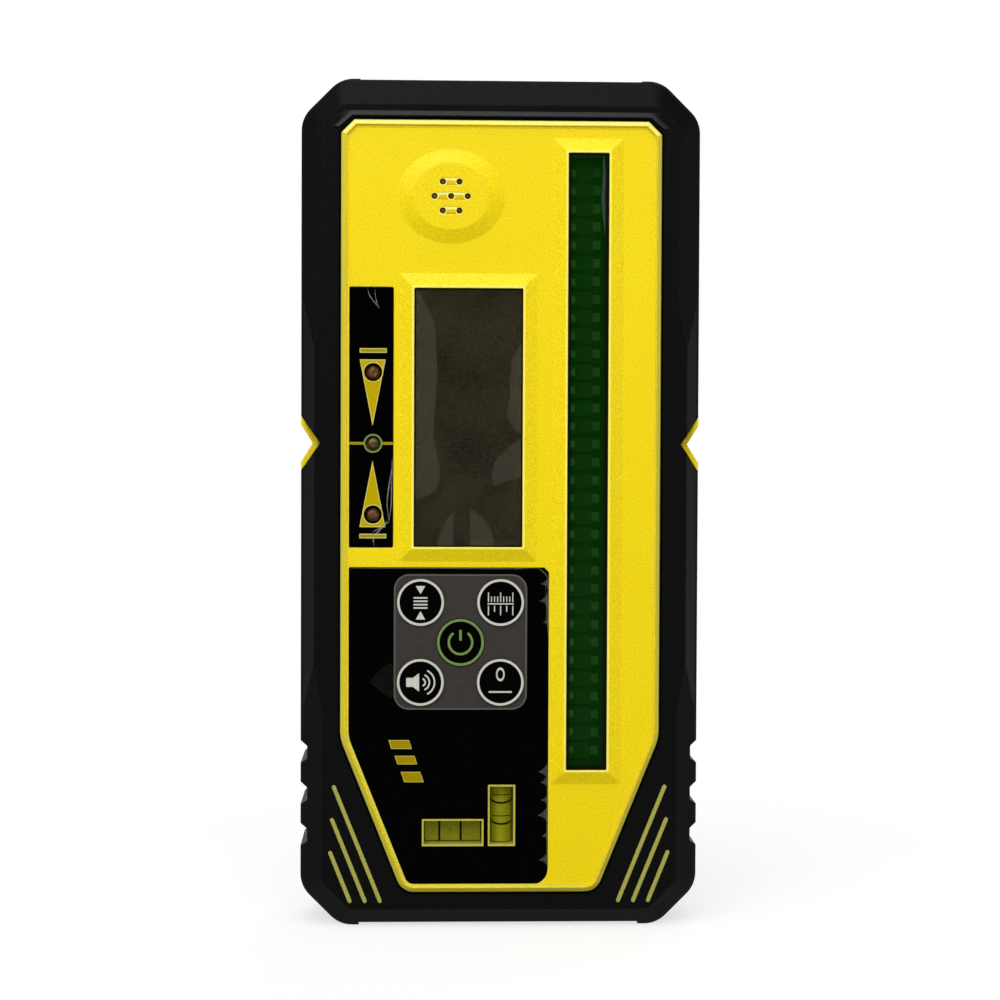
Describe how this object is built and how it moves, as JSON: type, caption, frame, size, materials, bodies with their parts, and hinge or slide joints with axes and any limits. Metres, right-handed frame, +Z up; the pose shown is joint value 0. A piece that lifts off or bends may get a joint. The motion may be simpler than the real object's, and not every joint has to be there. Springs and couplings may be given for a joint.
{
  "type": "laser receiver",
  "caption": "Hand-held laser receiver: yellow panel in a black rubber bumper with zero notches, display, long green detector window, lamps, sprung keys, spirit vials and a hinged battery door.",
  "frame": {"origin": "centre of the receiver's box at the height of its corner feet", "axes": "+Z up along the height, -Y out of the front panel, X across the width"},
  "size_m": [0.079, 0.028, 0.168],
  "materials": {
    "yellow_abs": "yellow moulded plastic, fine grain",
    "bumper_rubber": "black moulded rubber, fine grain",
    "black_abs": "black moulded plastic, fine grain",
    "seal_rubber": "soft seal",
    "zinc_steel": "zinc plated",
    "turned_brass": "turned",
    "circuit_board": "green solder mask",
    "black_moulding": "plain moulding",
    "tinned_terminal": "tinned",
    "display_cover": "clear smoked sheet",
    "display_glass": "display glass, unpowered",
    "contact_strip": "layered conductive rubber",
    "green_filter": "green filter sheet",
    "label_film": "black printed film",
    "lamp_resin": "clear cast resin",
    "key_cap": "black moulded key",
    "switch_plunger": "pale moulding",
    "vial_acrylic": "clear acrylic",
    "vial_spirit": "yellow-green spirit",
    "cell_jacket": "plain printed jacket"
  },
  "bodies": {
    "casing": {"front_casing": "yellow_abs", "front_bumper": "bumper_rubber", "rear_casing": "black_abs", "rear_bumper": "bumper_rubber", "case_seal": "seal_rubber", "case_screws": "zinc_steel", "speaker_mesh": "black_moulding", "buzzer": "black_moulding", "display_window": "display_cover", "display_panel": "display_glass", "display_holder": "black_moulding", "display_contacts": "contact_strip", "detector_window": "green_filter", "detector_board": "circuit_board", "photodiodes": "black_moulding", "photodiode_terminals": "tinned_terminal", "detector_headers": "black_moulding", "main_board": "circuit_board", "board_screws": "zinc_steel", "controller_chip": "black_moulding", "lamp_label": "label_film", "lamp_upper": "lamp_resin", "lamp_centre": "lamp_resin", "lamp_lower": "lamp_resin", "lamp_spacers": "black_moulding", "keypad_label": "label_film", "switch_bodies": "black_moulding", "level_vial": "vial_acrylic", "plumb_vial": "vial_acrylic", "level_spirit": "vial_spirit", "plumb_spirit": "vial_spirit", "vial_plugs": "vial_acrylic", "mount_insert": "turned_brass", "battery_left": "cell_jacket", "battery_right": "cell_jacket", "battery_springs": "zinc_steel", "battery_contacts": "zinc_steel", "door_gasket": "seal_rubber"},
    "door": {"battery_door": "black_abs"},
    "button_bandwidth": {"key_bandwidth": "key_cap", "plunger_bandwidth": "switch_plunger"},
    "button_units": {"key_units": "key_cap", "plunger_units": "switch_plunger"},
    "button_power": {"key_power": "key_cap", "plunger_power": "switch_plunger"},
    "button_volume": {"key_volume": "key_cap", "plunger_volume": "switch_plunger"},
    "button_zero": {"key_zero": "key_cap", "plunger_zero": "switch_plunger"}
  },
  "joints": [
    {"name": "door_hinge", "type": "hinge", "parent": "casing", "child": "door", "pos_m": [0, 0.0122, 0.00965], "axis": [-1, 0, 0], "range_deg": [0, 95]},
    {"name": "press_bandwidth", "type": "slide", "parent": "casing", "child": "button_bandwidth", "axis": [0, 1, 0], "range_m": [0, 0.0005], "stiffness_N_per_m": 1000},
    {"name": "press_units", "type": "slide", "parent": "casing", "child": "button_units", "axis": [0, 1, 0], "range_m": [0, 0.0005], "stiffness_N_per_m": 1000},
    {"name": "press_power", "type": "slide", "parent": "casing", "child": "button_power", "axis": [0, 1, 0], "range_m": [0, 0.0005], "stiffness_N_per_m": 1000},
    {"name": "press_volume", "type": "slide", "parent": "casing", "child": "button_volume", "axis": [0, 1, 0], "range_m": [0, 0.0005], "stiffness_N_per_m": 1000},
    {"name": "press_zero", "type": "slide", "parent": "casing", "child": "button_zero", "axis": [0, 1, 0], "range_m": [0, 0.0005], "stiffness_N_per_m": 1000}
  ]
}
